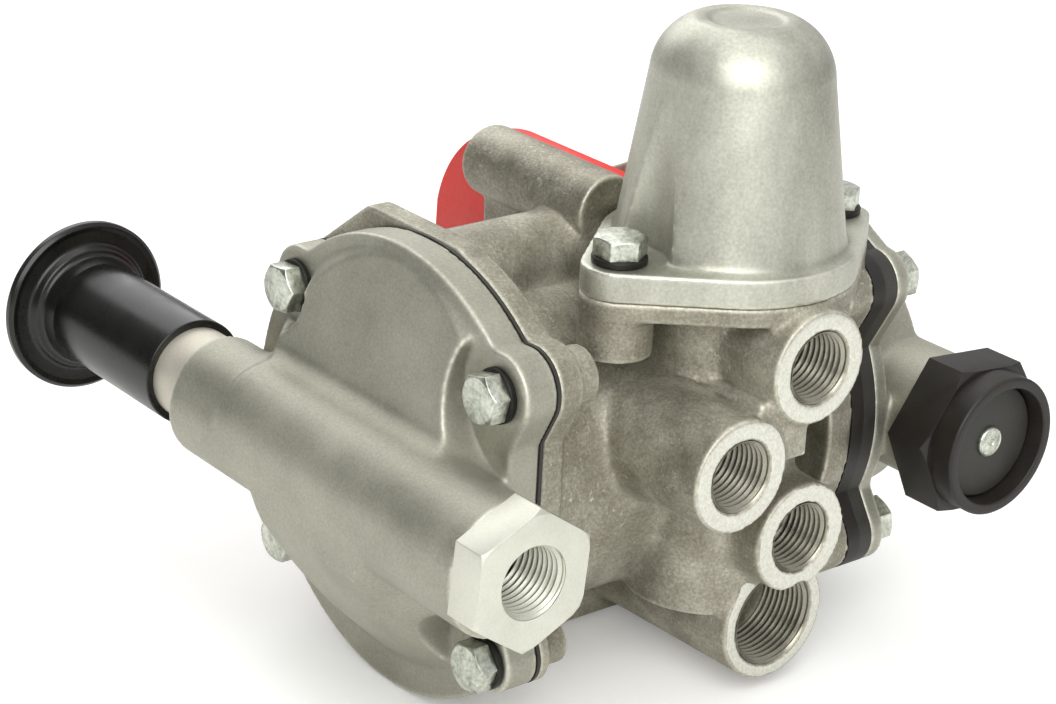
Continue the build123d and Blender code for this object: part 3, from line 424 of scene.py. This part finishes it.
def grained(
    name, colours, metallic, roughness, grain, depth, patch=14.0, stretch=(1, 1, 1),
    faces=(), edge_and_shade_tones=None, flecks=0.0,
):
    """A metal or plastic skin: patchy colour, a fine grain and uneven gloss.

    colours are the dark, middle and light tones. grain, depth and patch are in millimetres: the size of the
    grain, how deep it goes, and the size of the colour clouds. faces are machined round faces, each
    (place, radius). edge_and_shade_tones are the tone of rubbed edges with their painted highlight and the
    tone of painted shade in hollow corners; flecks is how strongly spots show.
    """
    material, tree, shader = new_material(name)
    place = add(tree, "TexCoord").outputs["Object"]
    stretched = add(tree, "Mapping", {"Vector": place, "Scale": stretch}).outputs["Vector"]
    clouds = add(tree, "TexNoise", {
        "Vector": stretched, "Scale": 1000 / patch, "Detail": 5.0, "Roughness": 0.62,
    }).outputs["Fac"]
    fine = add(tree, "TexNoise", {
        "Vector": place, "Scale": 1000 / grain, "Detail": 3.0, "Roughness": 0.6,
    }).outputs["Fac"]
    unevenness = add(tree, "Mix", {"Factor": 0.38, "A": clouds, "B": fine}, data_type="FLOAT").outputs[0]
    dark, middle, light = (linear(code) for code in colours)
    colour = add(tree, "ValToRGB", {"Fac": unevenness}, ramp=[
        (0.34, dark), (0.5, middle), (0.66, light),
    ]).outputs["Color"]
    if flecks:
        colour = flecked(tree, place, colour, flecks)
    # rubbed edges with a painted highlight, and painted shade in hollow corners
    if edge_and_shade_tones:
        colour = edge_wear_highlight_and_shade(tree, unevenness, colour, *edge_and_shade_tones)
    gloss = add(tree, "MapRange", {
        "Value": clouds, "From Min": 0.3, "From Max": 0.7, "To Min": roughness - 0.07, "To Max": roughness + 0.09,
    }).outputs["Result"]
    waves = add(tree, "TexNoise", {"Vector": place, "Scale": 1000 / (patch * 0.5), "Detail": 2.0}).outputs["Fac"]
    height = add(tree, "Mix", {"Factor": 0.3, "A": fine, "B": waves}, data_type="FLOAT").outputs[0]
    if faces:
        colour, gloss, height = machined(tree, place, fine, faces, colour, gloss, height)
    bump = add(tree, "Bump", {"Height": height, "Strength": 1.0, "Distance": depth * MM})
    tree.links.new(colour, shader.inputs["Base Color"])
    tree.links.new(gloss, shader.inputs["Roughness"])
    tree.links.new(bump.outputs["Normal"], shader.inputs["Normal"])
    shader.inputs["Metallic"].default_value = metallic
    return material


def mouth_of(port):
    """The middle of a port's open end."""
    mount = mounts[port]
    return Vector(mount["pos_m"]) + Vector(mount["axis"]) * mount["dims"]["length_mm"] / 2 * MM


# each port's boss has this radius, and its machined face reaches just past it
BOSS_RADIUS = {"upper_port": 12.5, "middle_port": 12.5, "lower_port": 12.5, "reservoir_port": 14.4}
FACE_MARGIN = 0.3
port_faces = [(tuple(mouth_of(port)), boss + FACE_MARGIN) for port, boss in BOSS_RADIUS.items()]

# sand cast aluminium, tumbled: grey-beige, matt, gritty, with pale rubbed edges under a painted highlight,
# painted shade in hollow corners, and flecks
sand_cast = grained(
    "sand_cast_aluminium", ("#797464", "#9d998a", "#c3bfb0"), metallic=0.75, roughness=0.53,
    grain=0.65, depth=0.14, faces=port_faces, edge_and_shade_tones=("#dcd9c9", "#5f5a4a"), flecks=0.85,
)
# die cast aluminium: smoother and more even, a satin sheen over large soft clouds; pale rubbed edges with a
# painted highlight and painted shade in hollow corners
die_cast = grained(
    "die_cast_aluminium", ("#929184", "#a6a597", "#b8b7a8"), metallic=0.75, roughness=0.52,
    grain=0.6, depth=0.025, patch=30.0, edge_and_shade_tones=("#e2e0d2", "#6b685a"), flecks=0.15,
)
# blasted die casting of the dome: paler, clouded in faint upright streaks; pale rubbed edges with a painted
# highlight and painted shade in hollow corners
dome_cast = grained(
    "blasted_aluminium", ("#a3a396", "#bbbbae", "#d0d0c2"), metallic=0.8, roughness=0.43,
    grain=0.7, depth=0.03, patch=13.0, stretch=(1, 1, 0.35), edge_and_shade_tones=("#e0dfd2", "#7f7e71"),
)
# turned and milled aluminium bar of the fitting: almost white, with a clean soft sheen
turned_bar = grained(
    "turned_aluminium", ("#c8c9bb", "#d5d6c8", "#e0e0d5"), metallic=0.85, roughness=0.42, grain=0.4, depth=0.012,
)
# inside the tapped holes the cut metal is a little duller than on the faces
tapped = grained(
    "tapped_aluminium", ("#8d8a7c", "#a3a092", "#b7b4a6"), metallic=0.9, roughness=0.34, grain=0.4, depth=0.012,
)
# anodised rod: a dull, slightly warm grey skin on the metal
rod_bar = grained(
    "anodised_rod", ("#b9b4a6", "#c6c1b3", "#d1ccbe"), metallic=0.6, roughness=0.50, grain=0.5, depth=0.02,
)
# turned pistons: neutral grey and fairly bright
piston_bar = grained(
    "turned_piston", ("#b0b0ac", "#c4c4c0", "#d4d4d0"), metallic=0.95, roughness=0.32, grain=0.4, depth=0.015,
)
# bright zinc plate on the screws: speckled where the crystals show
zinc = grained(
    "zinc_plated_steel", ("#8d9287", "#c6cabd", "#e9ebe0"), metallic=0.9, roughness=0.34,
    grain=0.8, depth=0.05, patch=2.2,
)
# phosphated spring washers: near black with a faint metal sheen
black_steel = grained(
    "phosphated_spring_steel", ("#161613", "#201f1a", "#2d2c26"), metallic=0.5, roughness=0.42,
    grain=0.5, depth=0.02,
)
# spring steel under oil, for the coils and their seats: mid grey and glossy
spring_wire = grained(
    "oiled_spring_wire", ("#6d6e6c", "#8a8b89", "#a3a4a2"), metallic=0.95, roughness=0.30, grain=0.5, depth=0.01,
)
# ground steel of the lever shaft and the follower: even, cool and bright
ground_steel = grained(
    "ground_steel", ("#9a9a98", "#b4b4b2", "#c9c9c7"), metallic=0.95, roughness=0.25, grain=0.5, depth=0.01,
)
# turned brass of the inlet valve, its seat and the shaft bush: warm yellow
brass = grained(
    "turned_brass", ("#b28a3c", "#c7a24f", "#d8b667"), metallic=0.95, roughness=0.28, grain=0.5, depth=0.01,
)
# moulded acetal of the knob: nearly black, satin, a broad soft highlight
acetal = grained(
    "moulded_acetal", ("#070706", "#0a0a08", "#0f0f0c"), metallic=0.0, roughness=0.26, grain=0.5, depth=0.006,
)
# glass filled nylon of the silencer and the plate: brown-black and duller
nylon = grained(
    "glass_filled_nylon", ("#15120e", "#1d1914", "#26211a"), metallic=0.0, roughness=0.5, grain=0.6, depth=0.02,
)
# moulded rubber of the flap, the seals, the diaphragm and the gasket: dark grey and matt
rubber = grained(
    "moulded_rubber", ("#252420", "#302f2a", "#3a3933"), metallic=0.0, roughness=0.55, grain=0.5, depth=0.01,
)
# red powder coat on sheet steel: a fine orange peel under the gloss
powder_coat = grained(
    "red_powder_coat", ("#d41c0a", "#e2200c", "#ec2a16"), metallic=0.0, roughness=0.45, grain=1.6, depth=0.02,
)

material_of_slot = {
    "body_casting": sand_cast, "cover_casting": die_cast, "dome_casting": dome_cast, "rubber_black": rubber,
    "plastic_black": nylon, "knob_plastic": acetal, "rod_aluminium": rod_bar, "fitting_aluminium": turned_bar,
    "piston_aluminium": piston_bar, "spring_steel": spring_wire, "shaft_steel": ground_steel, "brass": brass,
    "lever_paint": powder_coat, "zinc_steel": zinc, "washer_black": black_steel,
}
for node, part in frame["nodes"].items():
    part.data.materials.clear()
    part.data.materials.append(material_of_slot[slots[node]])

# ---------------------------------------------------------------- castings
# node, grid in millimetres, rounds that fill the corners, rounds that soften the edges
carry(casting("main_body", 0.62, 26, 2), "main_body", sand_cast)

KNOB_TRAVEL = 10.0
KNOB_GAP = 0.3
CLEAR_RADIUS = 13.0
cover = casting("front_cover", 0.62, 22, 3)
knob_low, knob_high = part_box("release_knob")
knob_middle = (knob_low + knob_high) / 2
knob_axis = Vector((0, knob_middle.y, knob_middle.z))
travel_end = knob_high.x + (KNOB_TRAVEL + KNOB_GAP) * MM
for point in cover.data.vertices:
    # the flange keeps clear of the knob's sleeve, which travels along it
    off = Vector((0, point.co.y, point.co.z)) - knob_axis
    if point.co.x < travel_end and off.length < CLEAR_RADIUS * MM:
        point.co += off.normalized() * (CLEAR_RADIUS * MM - off.length)
cover.data.update()
carry(cover, "front_cover", die_cast)

dome = casting("spring_dome", 0.55, 26, 2)
low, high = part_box("spring_dome")
dome_axis = ((low + high) / 2).xy
recess_radius, recess_depth, recess_slope = 8.6, 0.4, 0.9
for point in dome.data.vertices:
    # the crown has a shallow round recess
    from_rim = recess_radius - (point.co.xy - dome_axis).length / MM
    if point.co.z > high.z - 1.5 * MM and from_rim > 0:
        point.co.z -= recess_depth * MM * min(from_rim / recess_slope, 1.0) ** 2
dome.data.update()
carry(dome, "spring_dome", dome_cast)

carry(casting("rear_cover", 0.62, 22, 3), "rear_cover", die_cast)


# ---------------------------------------------------------------- threads in the ports
def thread(name, radius, depth):
    """An internal thread as a thin sleeve: mouth at Z = 0, running down to -depth, with a lead-in cone."""
    crest = radius - CREST_DEPTH * THREAD_PITCH
    root = radius - ROOT_GAP
    foot = -depth - 2 * THREAD_PITCH
    # one turn of the profile: root, flank, crest and flank, in shares of the pitch
    piece = drawn(name, [
        (across, foot + along * THREAD_PITCH)
        for across, along in ((root, 0), (root, 0.12), (crest, 0.46), (crest, 0.66), (root, 1.0))
    ])
    bpy.ops.object.mode_set(mode="OBJECT")
    modify(
        piece, "SCREW", axis="Z", angle=math.tau, screw_offset=THREAD_PITCH * MM, steps=48, render_steps=48,
        iterations=int(depth / THREAD_PITCH) + 3, use_merge_vertices=True, merge_threshold=1e-6,
    )
    only(piece)
    for height, outer in ((0.0, True), (-depth * MM, False)):
        bpy.ops.object.mode_set(mode="EDIT")
        bpy.ops.mesh.select_all(action="SELECT")
        bpy.ops.mesh.bisect(
            plane_co=(0, 0, height), plane_no=(0, 0, 1), clear_outer=outer, clear_inner=not outer,
        )
        bpy.ops.object.mode_set(mode="OBJECT")
    for point in piece.data.vertices:
        # the lead-in cone opens the crests towards the mouth
        reach = point.co.xy.length
        least = root * MM + min(point.co.z, 0) * LEAD_IN_SLOPE
        if reach < least:
            point.co.x *= least / reach
            point.co.y *= least / reach
    only(piece)
    bpy.ops.object.mode_set(mode="EDIT")
    bpy.ops.mesh.select_all(action="SELECT")
    bpy.ops.mesh.remove_doubles(threshold=1e-6)
    bpy.ops.mesh.normals_make_consistent(inside=True)
    bpy.ops.object.mode_set(mode="OBJECT")
    modify(piece, "SOLIDIFY", thickness=SLEEVE_WALL * MM, offset=-1.0)
    smooth(piece, 25)
    return piece


for port, node, cut_metal in (
    ("upper_port", "main_body", tapped),
    ("middle_port", "main_body", tapped),
    ("lower_port", "main_body", tapped),
    ("reservoir_port", "main_body", tapped),
    ("release_port", "hex_port_fitting", turned_bar),
):
    size = mounts[port]["dims"]
    axis = Vector(mounts[port]["axis"])
    sleeve = thread(port + "_thread", size["r_mm"], size["length_mm"] - END_GAP)
    set_down(sleeve, mouth_of(port) - axis * MOUTH_GAP * MM, axis)
    sleeve.data.materials.append(cut_metal)
    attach(sleeve, body_of_node[node])

# ---------------------------------------------------------------- screws and washers
head = hexagon("screw_head", HEAD_FLATS, HEAD_HEIGHT, HEAD_FACE)
washer = turned("spring_washer", rounded([
    (WASHER_BORE, 0), (WASHER_RADIUS, 0), (WASHER_RADIUS, WASHER_HEIGHT), (WASHER_BORE, WASHER_HEIGHT),
    (WASHER_BORE, 0),
], {1: WASHER_ROUND, 2: WASHER_ROUND}), 64)
half_corner = HEAD_FLATS / math.sqrt(3)
half_flat = HEAD_FLATS / 2


def outermost(node, axis, reach):
    """Lowest and highest screw centre of a node along an axis, from its box and the reach of a head."""
    low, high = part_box(node)
    return low[axis] + reach * MM, high[axis] - reach * MM


def fit_screws(owner, bolts, washers, places, outward, first_turn):
    """Sets a washer and a head on each place, as one piece of heads and one of washers."""
    heads, rings = [], []
    for number, place in enumerate(places):
        top = Vector(place) + Vector(outward) * WASHER_HEIGHT * MM
        heads.append(set_down(again(head), top, outward, first_turn + HEAD_TURN * number))
        rings.append(set_down(again(washer), Vector(place), outward))
    for pieces, ending, node, finish in (
        (heads, "_screw_heads", bolts, zinc), (rings, "_washer_rings", washers, black_steel),
    ):
        piece = joined(owner + ending, pieces)
        smooth(piece)
        carry(piece, node, finish)


for owner, seat_end, outward, first_turn in (
    ("front_cover", 1, (0, -1, 0), 0.0), ("rear_cover", 0, (0, 1, 0), 0.3),
):
    bolts, washers = owner + "_bolts", owner + "_washers"
    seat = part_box(washers)[seat_end].y
    xs, zs = outermost(bolts, 0, half_corner), outermost(bolts, 2, half_flat)
    fit_screws(owner, bolts, washers, [(x, seat, z) for x in xs for z in zs], outward, first_turn)
low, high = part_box("dome_bolts")
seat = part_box("dome_washers")[0].z
places = [((low.x + high.x) / 2, y, seat) for y in outermost("dome_bolts", 1, half_flat)]
fit_screws("dome", "dome_bolts", "dome_washers", places, (0, 0, 1), 0.0)
low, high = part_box("lever_bolt")
places = [((low.x + high.x) / 2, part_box("lever_washer")[0].y, (low.z + high.z) / 2)]
fit_screws("lever", "lever_bolt", "lever_washer", places, (0, 1, 0), 0.2)
for pattern in (head, washer):
    bpy.data.objects.remove(pattern)

# ---------------------------------------------------------------- release knob
knob_length = (knob_high.x - knob_low.x) / MM
disc = (knob_high.y - knob_low.y) / 2 / MM
disc_height = 3.4
sleeve_radius = 12.4
bore_radius = 10.78
knob = turned("release_knob_moulding", rounded([
    # palm face and its round rim
    (0, 0), (disc - 1.6, 0), (disc, 1.0), (disc, 2.6),
    # bead along the rim, and the collar at the foot of the sleeve
    (disc - 0.9, disc_height), (disc - 2.1, 3.0), (15.6, 3.2), (14.6, 4.9), (13.3, 5.3),
    # sleeve and its bore over the rod
    (sleeve_radius, 9.0), (sleeve_radius, knob_length), (bore_radius, knob_length), (bore_radius, disc_height),
    (0, disc_height),
], {1: 0.8, 2: 0.5, 3: 0.4, 4: 0.4, 5: 0.5, 6: 1.2, 7: 0.9, 8: 1.4, 9: 3.0, 10: 0.4}), 128)
set_down(knob, Vector((knob_low.x, knob_middle.y, knob_middle.z)), (1, 0, 0))
smooth(knob)
carry(knob, "release_knob", acetal)

# ---------------------------------------------------------------- hexagon fitting
fitting_flats, fitting_face, fitting_bore = 27.0, 14.4, 7.99
fitting_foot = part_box("front_cover")[1].x
fitting_height = (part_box("hex_port_fitting")[1].x - fitting_foot) / MM
fitting = hexagon("port_hexagon", fitting_flats, fitting_height, fitting_face)
hole = turned("bore_tool", [
    (0, -1), (fitting_bore, -1), (fitting_bore, fitting_height + 1), (0, fitting_height + 1),
], 64)
cut(fitting, hole)
_, release_y, release_z = mounts["release_port"]["pos_m"]
set_down(fitting, Vector((fitting_foot, release_y, release_z)), (1, 0, 0), math.radians(25))
smooth(fitting)
carry(fitting, "hex_port_fitting", turned_bar)

# ---------------------------------------------------------------- silencer
low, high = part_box("silencer_body")
silencer_place = (low + high) / 2
silencer_place.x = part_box("rear_cover")[1].x
silencer_flats, silencer_face = 33.4, 17.6
silencer_height, rim_height, recess = 11.0, 6.0, 5.6
rim_radius, rim_bore = 16.4, 13.8
rim_top = silencer_height + rim_height
shell = hexagon("silencer_shell", silencer_flats, silencer_height, silencer_face)
rim = turned("silencer_rim", rounded([
    (0, silencer_height - 3), (rim_radius, silencer_height - 3), (rim_radius, rim_top), (rim_bore, rim_top),
    (rim_bore, rim_top - recess), (0, rim_top - recess),
], {2: 0.8, 3: 0.5}), 128)
cut(shell, rim, "UNION")
set_down(shell, silencer_place, (1, 0, 0), math.radians(55))
smooth(shell)
carry(shell, "silencer_body", nylon)

flap_low, flap_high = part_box("silencer_flap")
flap_radius, flap_bore = 13.3, 1.6
flap = turned("silencer_flap_disc", rounded([
    (flap_bore, 0), (flap_radius, 0), (flap_radius, 1.3), (4.2, 1.5), (flap_bore, 1.5), (flap_bore, 0),
], {2: 0.4}), 96)
set_down(flap, Vector((flap_low.x, silencer_place.y, silencer_place.z)), (1, 0, 0))
smooth(flap)
carry(flap, "silencer_flap", rubber)

rivet = turned("silencer_rivet_head", [
    # shank and the underside of the head
    (0, -0.6), (1.5, -0.6), (1.5, 0), (3.4, 0),
    # rim, the groove inside it, the low crown and its centre dimple
    (3.6, 0.3), (3.5, 0.75), (3.2, 1.0), (2.95, 0.85), (2.7, 0.95), (0.9, 1.15), (0.65, 0.8),
    (0.3, 0.72), (0, 0.7),
], 64)
set_down(rivet, Vector((flap_high.x, silencer_place.y, silencer_place.z)), (1, 0, 0))
smooth(rivet, 50)
carry(rivet, "silencer_rivet", zinc)

# ---------------------------------------------------------------- hand lever
lever = copy_of("hand_lever", "hand_lever_plate")
modify(lever, "DECIMATE", decimate_type="DISSOLVE", angle_limit=math.radians(2))
modify(lever, "BEVEL", width=0.7 * MM, segments=3, limit_method="ANGLE", angle_limit=math.radians(40))
smooth(lever)
carry(lever, "hand_lever", powder_coat)

# ---------------------------------------------------------------- springs
# each coil with its piston's joint, axis, travel in mm and fixed end; the coils are copied unchanged and these
# columns are not used
LOW_END, HIGH_END = 0, 1
for node, joint, axis, travel, end in (
    ("emergency_spring", "emergency_piston_slide", (0, 1, 0), 8.0, HIGH_END),
    ("inlet_valve_spring", "inlet_valve_slide", (0, 1, 0), 2.0, LOW_END),
    ("graduating_spring", "balance_piston_slide", (0, 0, 1), 4.0, HIGH_END),
    ("follower_spring", "follower_slide", (0, 0, 1), 1.5, LOW_END),
):
    coil = carry(copy_of(node, node + "_coil"), node, spring_wire)
    smooth(coil, 50)
    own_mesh(coil)

# ---------------------------------------------------------------- floor, light and camera
scene = bpy.context.scene
low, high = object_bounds()
middle = (low + high) / 2
FLOOR_SIDE = 6.0
FLOOR_GAP = 0.0005
bpy.ops.object.select_all(action="DESELECT")
bpy.ops.mesh.primitive_plane_add(size=FLOOR_SIDE, location=(middle.x, middle.y, low.z - FLOOR_GAP))
floor = bpy.context.object
floor.name = "studio_floor"
floor_material, tree, shader = new_material("pale_floor")
shader.inputs["Base Color"].default_value = linear("#fbfbf9")
shader.inputs["Roughness"].default_value = 0.9
# the camera sees the floor a little whiter than it is lit, so that it runs into the backdrop
seen = add(tree, "LightPath").outputs["Is Camera Ray"]
lift = add(tree, "Math", {0: seen, 1: 0.16}, operation="MULTIPLY").outputs[0]
shader.inputs["Emission Color"].default_value = (1, 1, 1, 1)
tree.links.new(lift, shader.inputs["Emission Strength"])
floor.data.materials.append(floor_material)

world = bpy.data.worlds.new("soft_white_room")
world.use_nodes = True
scene.world = world
tree = world.node_tree
back = tree.nodes["Background"]
direction = add(tree, "TexCoord").outputs["Generated"]
upward = add(tree, "SeparateXYZ", {"Vector": direction}).outputs["Z"]
# elevation, from a little under the horizon to straight up, sets how bright the room is
elevation = add(tree, "MapRange", {"Value": upward, "From Min": -0.4, "From Max": 1.0}).outputs["Result"]
glow = add(tree, "ValToRGB", {"Fac": elevation}, ramp=[
    (0.0, 0.20), (0.30, 0.36), (0.52, 0.75), (1.0, 0.65),
]).outputs["Color"]
# the room is darker in front of the valve than behind it
depthwise = add(tree, "SeparateXYZ", {"Vector": direction}).outputs["Y"]
share = add(tree, "MapRange", {
    "Value": depthwise, "From Min": -0.6, "From Max": 0.3, "To Min": 0.25,
}).outputs["Result"]
glow = add(tree, "VectorMath", {0: glow, "Scale": share}, operation="SCALE").outputs["Vector"]
seen = add(tree, "LightPath").outputs["Is Camera Ray"]
tone = add(tree, "Mix", {"Factor": seen, "A": glow, "B": (1, 1, 1, 1)}, data_type="RGBA").outputs[2]
tree.links.new(tone, back.inputs["Color"])


def softbox(name, place, size, power):
    """A square area lamp that looks at the valve; place in metres from its middle."""
    lamp = bpy.data.lights.new(name, "AREA")
    lamp.size = size
    lamp.energy = power
    lamp_object = bpy.data.objects.new(name, lamp)
    scene.collection.objects.link(lamp_object)
    lamp_object.location = middle + Vector(place)
    lamp_object.rotation_euler = (-Vector(place)).to_track_quat("-Z", "Y").to_euler()


softbox("camera_side_softbox", (0.78, -0.60, 0.72), 1.0, 13.5)
softbox("top_softbox", (0.05, -0.05, 1.00), 0.8, 3.0)
softbox("left_softbox", (-0.80, 0.20, 0.62), 0.9, 4.0)

camera_data = bpy.data.cameras.new("camera")
camera_data.lens = 93.3
camera_data.sensor_width = 36.0
camera = bpy.data.objects.new("camera", camera_data)
scene.collection.objects.link(camera)
# the camera stands 0.6 m off, above the front right corner, and is tilted a little to the left
camera_place = Vector((0.4480, -0.3702, 0.2953))
right = Vector((0.619, 0.784, 0.048))
up = Vector((-0.325, 0.200, 0.924))
backward = Vector((0.715, -0.588, 0.378))
camera.matrix_world = Matrix((
    *((right[k], up[k], backward[k], camera_place[k]) for k in range(3)), (0, 0, 0, 1),
))
scene.camera = camera
scene.view_settings.view_transform = "Standard"
